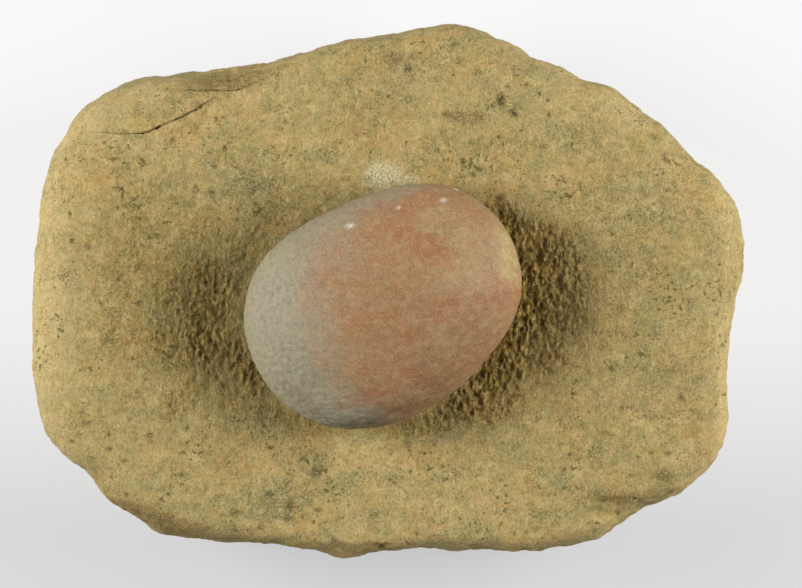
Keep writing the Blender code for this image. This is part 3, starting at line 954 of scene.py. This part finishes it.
class SlabSurfaceTree(SurfaceTree):
    """The slab's surface: relief and pits in the stone, and coarse quartz grains in it.

    Sizes are in millimetres: of each pattern's lumps along x, y and z, of the waves that bend the
    peck marks and how far they do, and the least and most radius of the pits and the grains.
    """

    name = "sandstone_surface"
    swell_size = (9.0, 11.0, 9.0)
    grain_size = (1.5, 1.8, 1.5)
    streak_size = (0.8, 2.2, 0.8)
    peck_size = (1.0, 1.75, 1.0)
    lump_size = (2.2, 3.8, 2.2)
    chip_size = (2.6, 3.4, 1.7)
    facet_size = 9.0
    bend_size = 2.6
    bend_reach = 2.2
    pit_radii = (0.4, 1.3)
    quartz_radii = (0.10, 0.26)
    quartz_seed = 3
    quartz_turns = (6.28, 6.28, 6.28)

    def surface(self) -> NodeSocket:
        """The stone with its relief, and the grains, as one geometry."""
        height, cavity = self.relief()
        carved = self.add(
            "GeometryNodeStoreNamedAttribute",
            {"Geometry": self.raised(height), "Name": Painted.CAVITY.value, "Value": cavity},
            data_type="FLOAT",
            domain="POINT",
        ).outputs["Geometry"]
        joined = self.add("GeometryNodeJoinGeometry")
        parts = ((carved, "stone"), (self.coarse_grains(carved), "quartz"))
        for geometry, material in parts:
            inputs = {"Geometry": geometry, "Material": self.given[material]}
            dressed = self.add("GeometryNodeSetMaterial", inputs)
            self.tree.links.new(dressed.outputs["Geometry"], joined.inputs[0])
        whole = {"Geometry": joined.outputs["Geometry"]}
        return self.add("GeometryNodeRealizeInstances", whole).outputs["Geometry"]

    def relief(self) -> tuple[NodeSocket, NodeSocket]:
        """Height to add along the normal, and how deep in a streak or peck mark each point lies.

        Returns:
            The height and the cavity value.
        """
        hollow = self.stored(Painted.HOLLOW)
        up = self.add("ShaderNodeSeparateXYZ", {0: self.normal}).outputs["Z"]
        side = self.add(
            "ShaderNodeMapRange", {"Value": up, "From Min": 0.75, "From Max": 0.1}
        ).outputs["Result"]
        depths = {}
        for name, share in (("facet", side), ("chip", side), ("peck", hollow), ("lump", hollow)):
            inputs = {0: share, 1: self.given[name]}
            depths[name] = self.add("ShaderNodeMath", inputs, operation="MULTIPLY").outputs["Value"]
        inputs = {"To Min": self.given["streak"], "To Max": self.given["hollow_streak"]}
        inputs["Value"] = hollow
        streak_depth = self.add("ShaderNodeMapRange", inputs).outputs["Result"]
        cells = self.add(
            "ShaderNodeTexVoronoi",
            {"Vector": self.place, "Scale": 1 / (self.facet_size * MM), "Smoothness": 0.25},
            feature="SMOOTH_F1",
        ).outputs["Distance"]
        facet = self.add(
            "ShaderNodeMapRange", {"Value": cells, "From Max": 0.9, "To Min": 1.0, "To Max": -0.35}
        ).outputs["Result"]
        peck, peck_floor = self.pecks()
        streak = self.waves(self.streak_size, 3.0)
        terms = (
            (self.waves(self.chip_size, 3.0), depths["chip"]),
            (self.waves(self.swell_size, 2.0), self.given["swell"]),
            (self.waves(self.lump_size, 2.0), depths["lump"]),
            (self.waves(self.grain_size, 3.0), self.given["grain"]),
            (streak, streak_depth),
            (peck, depths["peck"]),
            (facet, depths["facet"]),
        )
        sunk = self.total(((self.pits(), self.given["pit"]),))
        height = self.add("ShaderNodeMath", {0: self.total(terms), 1: sunk}, operation="SUBTRACT")
        streak_floor = self.add(
            "ShaderNodeMapRange", {"Value": streak, "From Min": 0.1, "From Max": -1.0}
        ).outputs["Result"]
        cavity = self.add("ShaderNodeMath", {0: streak_floor, 1: peck_floor}, operation="MAXIMUM")
        return height.outputs["Value"], cavity.outputs["Value"]

    def pecks(self) -> tuple[NodeSocket, NodeSocket]:
        """Peck marks side by side, sunk between narrow ridges.

        Returns:
            Height from -1 to 1, and a value that is 1 on the marks' floors.
        """
        inputs = {"Vector": self.place, "Scale": 1 / (self.bend_size * MM)}
        bend = self.add("ShaderNodeTexNoise", inputs).outputs["Color"]
        bent = self.add(
            "ShaderNodeVectorMath",
            {0: bend, 1: (self.bend_reach * MM,) * 3, 2: self.place},
            operation="MULTIPLY_ADD",
        ).outputs["Vector"]
        scale = tuple(1 / (length * MM) for length in self.peck_size)
        scaled = self.add("ShaderNodeVectorMath", {0: bent, 1: scale}, operation="MULTIPLY")
        inputs = {"Vector": scaled.outputs["Vector"], "Scale": 1.0}
        distance = self.add("ShaderNodeTexVoronoi", inputs).outputs["Distance"]
        height = self.add(
            "ShaderNodeMapRange",
            {"Value": distance, "From Min": 0.1, "From Max": 0.8, "To Min": -1.0},
        )
        floor = self.add(
            "ShaderNodeMapRange", {"Value": distance, "From Min": 0.5, "From Max": 0.15}
        )
        return height.outputs["Result"], floor.outputs["Result"]

    def pits(self) -> NodeSocket:
        """Round pits at scattered places, from 0 outside them to 1 at their bottoms.

        Returns:
            The value.
        """
        points = self.add(
            "GeometryNodeDistributePointsOnFaces",
            {
                "Mesh": self.given["Geometry"],
                "Density": self.given["pit_density"],
                "Seed": self.given["seed"],
            },
            distribute_method="RANDOM",
        ).outputs["Points"]
        nearest = self.add("GeometryNodeSampleNearest", {"Geometry": points}, domain="POINT")
        index = nearest.outputs["Index"]
        centre = self.add(
            "GeometryNodeSampleIndex",
            {"Geometry": points, "Value": self.place, "Index": index},
            data_type="FLOAT_VECTOR",
            domain="POINT",
        ).outputs["Value"]
        distance = self.add(
            "ShaderNodeVectorMath", {0: self.place, 1: centre}, operation="DISTANCE"
        ).outputs["Value"]
        # Inputs 2 and 3 and output 1 of a random value are those of a plain number.
        least, most = (radius * MM for radius in self.pit_radii)
        size = self.add(
            "FunctionNodeRandomValue",
            {2: least, 3: most, "ID": index, "Seed": self.given["seed"]},
            data_type="FLOAT",
        ).outputs[1]
        share = self.add("ShaderNodeMath", {0: distance, 1: size}, operation="DIVIDE")
        return self.add(
            "ShaderNodeMapRange",
            {"Value": share.outputs["Value"], "From Min": 1.0, "From Max": 0.2},
            interpolation_type="SMOOTHSTEP",
        ).outputs["Result"]

    def coarse_grains(self, carved: NodeSocket) -> NodeSocket:
        """Coarse quartz grains, half sunk in the stone.

        Args:
            carved: The stone with its relief.

        Returns:
            The grains' geometry.
        """
        points = self.add(
            "GeometryNodeDistributePointsOnFaces",
            {"Mesh": carved, "Density": self.given["grain_density"], "Seed": self.quartz_seed},
            distribute_method="RANDOM",
        )
        crystal = self.add("GeometryNodeMeshIcoSphere", {"Radius": 1.0, "Subdivisions": 1})
        least, most = (radius * MM for radius in self.quartz_radii)
        scale = self.add(
            "FunctionNodeRandomValue",
            {2: least, 3: most, "Seed": self.given["seed"]},
            data_type="FLOAT",
        )
        turn = self.add(
            "FunctionNodeRandomValue",
            {0: (0.0, 0.0, 0.0), 1: self.quartz_turns, "Seed": self.given["seed"]},
            data_type="FLOAT_VECTOR",
        )
        return self.add(
            "GeometryNodeInstanceOnPoints",
            {
                "Points": points.outputs["Points"],
                "Instance": crystal.outputs["Mesh"],
                "Rotation": turn.outputs[0],
                "Scale": scale.outputs[1],
            },
        ).outputs["Instances"]


@dataclass(frozen=True)
class Mottle:
    """A noise pattern of real size, in millimetres, that lays one colour over others."""

    colour: str
    size: tuple[float, float, float]
    detail: float
    low: float
    high: float
    amount: float
    where: Enum | None = None

    def share(self, tree: NodeTree, place: NodeSocket) -> NodeSocket:
        """How much of the colour lies at each place.

        Args:
            tree: The material's tree.
            place: Object coordinates.

        Returns:
            The share.
        """
        noise = lumps(tree, place, self.size, self.detail)
        inputs = {"Value": noise, "From Min": self.low, "From Max": self.high}
        inputs["To Max"] = self.amount
        return add_node(tree, "ShaderNodeMapRange", inputs).outputs["Result"]


@dataclass(frozen=True)
class Specks:
    """Ragged specks of real size, in millimetres, gathered in loose clusters."""

    colour: str
    size: float
    cluster: float
    edge: float
    softness: float
    amount: float
    crowding: float = 0.24
    where: Enum | None = None

    def share(self, tree: NodeTree, place: NodeSocket) -> NodeSocket:
        """How much of the specks' colour lies at each place.

        Args:
            tree: The material's tree.
            place: Object coordinates.

        Returns:
            The share.
        """
        spots = lumps(tree, place, (self.size,) * 3, 2.0)
        clusters = Mottle(self.colour, (self.cluster,) * 3, 2.0, 0.30, 0.70, self.crowding)
        inputs = {0: spots, 1: clusters.share(tree, place)}
        both = add_node(tree, "ShaderNodeMath", inputs).outputs["Value"]
        inputs = {"Value": both, "From Min": self.edge, "From Max": self.edge + self.softness}
        inputs["To Max"] = self.amount
        return add_node(tree, "ShaderNodeMapRange", inputs).outputs["Result"]


@dataclass(frozen=True)
class Stored:
    """A colour laid by a value that the mesh stores."""

    colour: str
    value: Enum
    amount: float
    where: Enum | None = None

    def share(self, tree: NodeTree, place: NodeSocket) -> NodeSocket:
        """How much of the colour lies at each place.

        Args:
            tree: The material's tree.
            place: Object coordinates, not needed here.

        Returns:
            The share.
        """
        value = add_node(tree, "ShaderNodeAttribute", attribute_name=self.value.value)
        inputs = {"Value": value.outputs["Fac"], "To Max": self.amount}
        return add_node(tree, "ShaderNodeMapRange", inputs).outputs["Result"]


class Finish:
    """A stone's material: patterns over a base colour, and relief too fine for the mesh.

    Each of the fine reliefs is its size in millimetres, its detail and its height in millimetres.
    """

    name: str
    roughness: float
    specular: float
    base: str
    patterns: tuple[Mottle | Specks | Stored, ...] = ()
    fine_reliefs: tuple[tuple[tuple[float, float, float], float, float], ...] = ()

    def material(self) -> Material:
        """Build the material.

        Returns:
            The material.
        """
        result = bpy.data.materials.new(self.name)
        result.use_nodes = True
        tree = result.node_tree
        shader = tree.nodes["Principled BSDF"]
        shader.inputs["Roughness"].default_value = self.roughness
        shader.inputs["Specular IOR Level"].default_value = self.specular
        shader.inputs["Base Color"].default_value = linear(self.base)
        place = add_node(tree, "ShaderNodeTexCoord").outputs["Object"]
        colour = linear(self.base)
        for pattern in self.patterns:
            colour = self.laid(tree, place, colour, pattern)
        if self.patterns:
            tree.links.new(colour, shader.inputs["Base Color"])
        for size, detail, height in self.fine_reliefs:
            inputs = {"Height": lumps(tree, place, size, detail), "Distance": height * MM}
            inputs["Strength"] = 1.0
            if shader.inputs["Normal"].links:
                inputs["Normal"] = shader.inputs["Normal"].links[0].from_socket
            bump = add_node(tree, "ShaderNodeBump", inputs)
            tree.links.new(bump.outputs["Normal"], shader.inputs["Normal"])
        return result

    @staticmethod
    def laid(
        tree: NodeTree,
        place: NodeSocket,
        under: NodeSocket | tuple[float, float, float, float],
        pattern: Mottle | Specks | Stored,
    ) -> NodeSocket:
        """Lay a pattern over a colour, where the pattern lies.

        Args:
            tree: The material's tree.
            place: Object coordinates.
            under: The colour below.
            pattern: The pattern.

        Returns:
            The mixed colour.
        """
        share = pattern.share(tree, place)
        if pattern.where is not None:
            where = add_node(tree, "ShaderNodeAttribute", attribute_name=pattern.where.value)
            share = add_node(
                tree,
                "ShaderNodeMath",
                {0: share, 1: where.outputs["Fac"]},
                operation="MULTIPLY",
                use_clamp=True,
            ).outputs["Value"]
        # Inputs 6 and 7 and output 2 of a mix are those of colours.
        inputs = {"Factor": share, 6: under, 7: linear(pattern.colour)}
        return add_node(tree, "ShaderNodeMix", inputs, data_type="RGBA").outputs[2]


class SandstoneFinish(Finish):
    """Yellow-brown sandstone, pecked and worn: dull, sandy and mottled with olive and rust."""

    name = "sandstone"
    roughness = 0.95
    specular = 0.25
    base = "af9c63"
    mottles = (
        Mottle("9d8b50", (17.0, 15.0, 16.0), 3.0, 0.42, 0.66, 0.50),
        Mottle("bc9150", (14.0, 12.0, 13.0), 3.0, 0.48, 0.70, 0.45),
        Mottle("8b875c", (8.0, 7.0, 7.0), 4.0, 0.48, 0.62, 0.54),
        Mottle("c2a26c", (6.0, 5.0, 5.0), 3.0, 0.50, 0.66, 0.60),
        Mottle("c4b075", (3.4, 3.0, 3.0), 3.0, 0.50, 0.66, 0.56),
        Mottle("bb8f5a", (2.4, 2.2, 2.2), 3.0, 0.52, 0.68, 0.44),
        Mottle("857c4b", (1.8, 1.6, 1.7), 3.0, 0.50, 0.66, 0.36),
        Specks("787244", 1.9, 14.0, 0.66, 0.13, 0.48),
    )
    # Sand grains, drawn at half a millimetre, which is about the finest that shows in the render.
    grain = (
        Mottle("d0bf89", (0.45, 0.55, 0.45), 1.0, 0.50, 0.70, 0.34),
        Mottle("6f6030", (0.45, 0.55, 0.45), 1.0, 0.48, 0.30, 0.36),
        Mottle("cdbb86", (0.50, 2.4, 0.50), 1.0, 0.57, 0.72, 0.36),
    )
    specks = (
        Specks("50461f", 0.50, 7.0, 0.80, 0.04, 0.72),
        Specks("545029", 1.3, 12.0, 0.80, 0.07, 0.72),
    )
    patch_marks = (
        # Paler wear, and painted light on the rims that face the lamps.
        Mottle("c9b27c", (6.0, 9.0, 6.0), 2.0, 0.20, 0.60, 0.60, SlabMark.WORN),
        Mottle("787b5b", (2.8, 2.6, 2.4), 3.0, 0.36, 0.62, 0.60, SlabMark.GREEN),
        Mottle("4f5036", (0.8, 0.7, 0.8), 4.0, 0.46, 0.62, 0.70, SlabMark.GREEN),
        Mottle("bd8a45", (3.0, 2.6, 2.6), 3.0, 0.34, 0.66, 0.60, SlabMark.RUST),
        # Painted shade on the broken faces and bevels.
        Mottle("674a16", (2.4, 1.8, 1.8), 3.0, 0.10, 0.60, 0.66, SlabMark.SHADE),
        # Grime and painted shadow in the hollow; painted shade in peck gaps, painted highlight on
        # ridges.
        Mottle("7e611a", (3.2, 3.8, 3.2), 4.0, 0.26, 0.58, 0.80, SlabMark.DIRT),
        Mottle("966a19", (4.6, 5.6, 4.6), 4.0, 0.47, 0.64, 0.50, SlabMark.DIRT),
        Mottle("46380c", (1.5, 1.9, 1.5), 4.0, 0.46, 0.61, 0.62, SlabMark.DIRT),
        Mottle("2f240a", (0.5, 1.1, 0.5), 2.0, 0.50, 0.59, 0.84, SlabMark.DIRT),
        Mottle("ba9a4a", (0.5, 1.5, 0.5), 2.0, 0.49, 0.59, 0.90, SlabMark.DIRT),
    )
    marked = (
        Mottle("423c20", (0.5, 0.5, 0.5), 2.0, 0.30, 0.50, 0.92, SlabMark.DARK),
        Mottle("e2dab6", (0.45, 0.6, 0.45), 3.0, 0.36, 0.60, 0.78, SlabMark.PALE),
    )

    # Grime and painted shade in the streaks and peck marks, most in the hollow; painted shade in
    # cracks.
    sunk = (
        Stored("4d3d12", Painted.CAVITY, 0.18),
        Stored("4c3a0a", Painted.CAVITY, 0.50, Painted.HOLLOW),
        Stored("2b2214", Painted.CRACK, 1.0),
    )
    patterns = mottles + patch_marks + grain + specks + marked + sunk
    fine_reliefs = (((0.55, 0.9, 0.55), 2.0, 0.24), ((0.30, 0.3, 0.30), 1.0, 0.06))


class QuartzFinish(Finish):
    """Coarse quartz grains: pale, glassy specks that glint."""

    name = "quartz_grain"
    roughness = 0.35
    specular = 0.5
    base = "b5a478"


class PebbleSurfaceTree(SurfaceTree):
    """The pebble's surface: low flats, and fine dimples that are worn down at the pink end.

    Sizes are in millimetres.
    """

    name = "pebble_surface"
    flat_size = 15.0
    dimple_size = 1.3

    def surface(self) -> NodeSocket:
        """The worn pebble, with its material."""
        rough = self.add(
            "ShaderNodeMapRange",
            {
                "Value": self.stored(PebbleMark.PINK),
                "To Min": self.given["dimple"],
                "To Max": self.given["worn_dimple"],
            },
        ).outputs["Result"]
        terms = []
        sizes = (self.flat_size, self.dimple_size)
        for size, depth in zip(sizes, (self.given["swell"], rough)):
            sunk = self.add(
                "ShaderNodeMapRange",
                {
                    "Value": self.waves((size,) * 3, 2.0),
                    "From Min": -1.0,
                    "To Min": -1.0,
                    "To Max": 0.0,
                },
            )
            terms.append((sunk.outputs["Result"], depth))
        worn = {"Geometry": self.raised(self.total(tuple(terms)))}
        real = self.add("GeometryNodeRealizeInstances", worn).outputs["Geometry"]
        inputs = {"Geometry": real, "Material": self.given["stone"]}
        return self.add("GeometryNodeSetMaterial", inputs).outputs["Geometry"]


@dataclass
class Handstone(StoneBody):
    """The upper stone: a smooth pebble, grey at its west end and pink-brown at its east.

    It turns pink from pink_from to pink_full millimetres past the pink line. Its outline grows
    from its middle, in millimetres, by fullness and at the corners: each has a direction and a
    width in degrees, and a growth.
    """

    node: str = "handstone"
    name: str = "oval_handstone"
    spacing: float = 0.55 * MM
    swell: float = 0.28 * MM
    dimple: float = 0.50 * MM
    worn_dimple: float = 0.10 * MM
    pink: float = 1.45
    pink_from: float = -7.0
    pink_full: float = 15.0
    middle: tuple[float, float] = (-1.3, -4.0)
    fullness: float = 0.016
    corners: tuple[tuple[float, float, float], ...] = (
        (8.5, 4.5, 0.022), (68.0, 14.0, 0.010), (158.0, 12.0, 0.008),
        (246.0, 12.0, 0.010), (310.0, 16.0, -0.014),
    )

    def build(self) -> Object:
        """Build the handstone's visible mesh.

        Returns:
            The finished piece, with its material.
        """
        smooth = self.smooth_copy()
        thing = self.wrapped(self.remeshed(smooth), smooth)
        bpy.data.objects.remove(smooth, do_unlink=True)
        self.paint_blushes(thing.data)
        values = {
            "swell": self.swell,
            "dimple": self.dimple,
            "worn_dimple": self.worn_dimple,
            "stone": PebbleFinish().material(),
        }
        self.carve(thing, PebbleSurfaceTree(values))
        self.fill_out(thing.data)
        self.keep_inside(thing.data)
        return thing

    def paint_blushes(self, data: Mesh) -> None:
        """Store the patches of each blush, and how far the stone has turned pink.

        Args:
            data: The pebble's mesh.
        """
        places = self.coordinates(data)
        shown = smoothstep(self.normals(data)[:, 2], -0.3, 0.1)
        for blush, patches in PEBBLE_PATCHES.items():
            self.paint(data, blush, patch_amounts(places, patches) * shown)
        line_y, line_x = np.array(PINK_LINE[::-1]).T
        past = places[:, 0] / MM - np.interp(places[:, 1] / MM, line_y, line_x)
        turned = self.pink * smoothstep(past, self.pink_from, self.pink_full)
        self.paint(data, PebbleMark.PINK, turned)

    def fill_out(self, data: Mesh) -> None:
        """Push the sides out to the stone's true outline, with its blunt east corner.

        Args:
            data: The pebble's mesh.
        """
        places = self.coordinates(data)
        away = places[:, :2] - np.array(self.middle) * MM
        angle = np.degrees(np.arctan2(away[:, 1], away[:, 0]))
        growth = np.full(len(places), self.fullness)
        for centre, width, amount in self.corners:
            off = (angle - centre + 180) % 360 - 180
            growth += amount * np.exp(-((off / width) ** 2))
        places[:, :2] += away * growth[:, None]
        self.move_to(data, places)


class PebbleFinish(Finish):
    """Fine quartzite pebble, water-worn and rubbed: matt, close-grained, grey turning pink."""

    name = "quartzite_pebble"
    roughness = 0.62
    specular = 0.35
    base = "98937a"
    # The close grain, drawn far coarser than it is, so that it shows in the render.
    grain = (
        Mottle("c3ab82", (0.46, 0.40, 0.46), 1.0, 0.50, 0.70, 0.28),
        Mottle("6b5540", (0.46, 0.40, 0.46), 1.0, 0.50, 0.30, 0.28),
        Mottle("6f6048", (1.3, 1.2, 1.3), 4.0, 0.48, 0.68, 0.30),
        Mottle("b8a27a", (2.2, 1.9, 1.9), 4.0, 0.48, 0.68, 0.30),
        Specks("5a4c3a", 0.5, 9.0, 0.77, 0.08, 0.30),
    )
    blushes = (
        Mottle("9e7750", (7.0, 9.0, 7.0), 5.0, 0.10, 0.46, 1.0, PebbleMark.PINK),
        Mottle("a0663d", (8.0, 6.0, 6.5), 5.0, 0.44, 0.66, 0.34, PebbleMark.PINK),
        Mottle("9c875a", (6.0, 3.6, 4.5), 5.0, 0.48, 0.68, 0.28, PebbleMark.PINK),
        Mottle("a1643f", (2.4, 1.4, 1.6), 4.0, 0.48, 0.68, 0.22, PebbleMark.PINK),
        Mottle("b8a76e", (3.0, 3.0, 3.0), 4.0, 0.26, 0.60, 0.90, PebbleMark.TAN),
        Mottle("98532f", (2.4, 2.4, 2.4), 4.0, 0.34, 0.66, 0.62, PebbleMark.RED),
        # Brown of the stone, and painted shade on the near, lower flank.
        Mottle("70480f", (2.6, 2.6, 2.6), 3.0, 0.24, 0.56, 0.84, PebbleMark.BROWN),
        Mottle("97907a", (1.8, 1.8, 1.8), 4.0, 0.28, 0.60, 0.85, PebbleMark.GREY),
        # Painted shade on the lower rim.
        Mottle("4c462a", (2.2, 2.2, 2.2), 4.0, 0.26, 0.56, 0.80, PebbleMark.RIM_SHADE),
        Mottle("e2dacb", (0.5, 0.5, 0.5), 2.0, 0.34, 0.48, 0.90, PebbleMark.FLECK),
    )
    patterns = blushes + grain
    fine_reliefs = (((0.5, 0.5, 0.5), 2.0, 0.07),)


@dataclass(frozen=True)
class Studio:
    """Pale floor and walls, two soft lights at the left and right, and the camera overhead.

    The floor glows as a light table does, and less in front of glow_back than beyond it. The
    light of the walls dims to that of the ceiling up to ceiling_from, a direction's upward share.
    """

    camera_height: float = 0.75
    view_x: float = 3.09 * MM
    view_y: float = -0.86 * MM
    frame_width: float = 198.0 * MM
    frame_level: float = 31.0 * MM
    sensor: float = 36.0
    light_reach: float = 0.50
    light_north: float = 0.085
    light_height: float = 0.36
    light_size: float = 0.34
    light_power: float = 3.6
    light_aim: float = 0.03
    floor_half: float = 3.0
    glow_front: float = -78 * MM
    glow_back: float = 5 * MM
    front_glow: float = 0.48
    back_glow: float = 0.66
    wall_glow: float = 0.80
    ceiling_glow: float = 0.10
    ceiling_from: float = 0.30

    def build(self) -> None:
        """Set up the floor, the lights, the walls and the camera."""
        self.floor()
        for side in (-1, 1):
            self.softbox(side)
        self.walls()
        self.camera()

    def floor(self) -> None:
        """Lay the pale floor, lit from below as a light table is and dimmer towards the front."""
        data = bpy.data.meshes.new("floor")
        half = self.floor_half
        corners = [(-half, -half, 0), (half, -half, 0), (half, half, 0), (-half, half, 0)]
        data.from_pydata(corners, [], [(0, 1, 2, 3)])
        thing = bpy.data.objects.new("floor", data)
        bpy.context.scene.collection.objects.link(thing)
        material = bpy.data.materials.new("pale_floor")
        material.use_nodes = True
        tree = material.node_tree
        shader = tree.nodes["Principled BSDF"]
        place = add_node(tree, "ShaderNodeTexCoord").outputs["Object"]
        across = add_node(tree, "ShaderNodeSeparateXYZ", {0: place}).outputs["Y"]
        inputs = {
            "Value": across,
            "From Min": self.glow_front,
            "From Max": self.glow_back,
            "To Min": self.front_glow,
            "To Max": self.back_glow,
        }
        glow = add_node(tree, "ShaderNodeMapRange", inputs, interpolation_type="SMOOTHSTEP")
        tree.links.new(glow.outputs["Result"], shader.inputs["Emission Strength"])
        shader.inputs["Base Color"].default_value = (0.25, 0.25, 0.25, 1)
        shader.inputs["Roughness"].default_value = 0.9
        shader.inputs["Specular IOR Level"].default_value = 0.1
        shader.inputs["Emission Color"].default_value = (0.985, 0.985, 1.0, 1)
        data.materials.append(material)

    def softbox(self, side: int) -> None:
        """Hang one soft light.

        Args:
            side: -1 for the west, 1 for the east.
        """
        lamp = bpy.data.lights.new("softbox_west" if side < 0 else "softbox_east", "AREA")
        lamp.shape = "SQUARE"
        lamp.size = self.light_size
        lamp.energy = self.light_power
        thing = bpy.data.objects.new(lamp.name, lamp)
        thing.location = (side * self.light_reach, self.light_north, self.light_height)
        aim = Vector((0, 0, self.light_aim)) - thing.location
        thing.rotation_euler = aim.to_track_quat("-Z", "Y").to_euler()
        thing.visible_camera = False
        bpy.context.scene.collection.objects.link(thing)

    def walls(self) -> None:
        """Surround the stones with light that is pale at the walls and dim overhead."""
        world = bpy.data.worlds.new("studio")
        world.use_nodes = True
        tree = world.node_tree
        way = add_node(tree, "ShaderNodeTexCoord").outputs["Generated"]
        height = add_node(tree, "ShaderNodeSeparateXYZ", {0: way}).outputs["Z"]
        inputs = {
            "Value": height,
            "From Max": self.ceiling_from,
            "To Min": self.wall_glow,
            "To Max": self.ceiling_glow,
        }
        strength = add_node(tree, "ShaderNodeMapRange", inputs).outputs["Result"]
        background = tree.nodes["Background"]
        background.inputs["Color"].default_value = (0.96, 0.97, 1.0, 1)
        tree.links.new(strength, background.inputs["Strength"])
        bpy.context.scene.world = world
        bpy.context.scene.view_settings.view_transform = "Standard"

    def camera(self) -> None:
        """Point the camera straight down, framed as the photograph is."""
        lens = bpy.data.cameras.new("camera")
        lens.sensor_width = self.sensor
        lens.lens = self.sensor * (self.camera_height - self.frame_level) / self.frame_width
        thing = bpy.data.objects.new("camera", lens)
        thing.location = (self.view_x, self.view_y, self.camera_height)
        bpy.context.scene.collection.objects.link(thing)
        bpy.context.scene.camera = thing


def main() -> None:
    """Build the two stones and the studio round them."""
    logging.basicConfig(level=logging.INFO, format="%(message)s")
    slab = QuernSlab()
    stone = slab.build()
    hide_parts(slab.node)
    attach(stone, "root")
    LOG.info("%s: %d faces", stone.name, len(stone.data.polygons))
    upper = Handstone()
    pebble = upper.build()
    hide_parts(upper.node)
    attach(pebble, "root")
    LOG.info("%s: %d faces", pebble.name, len(pebble.data.polygons))
    Studio().build()


if __name__ == "__main__":
    main()
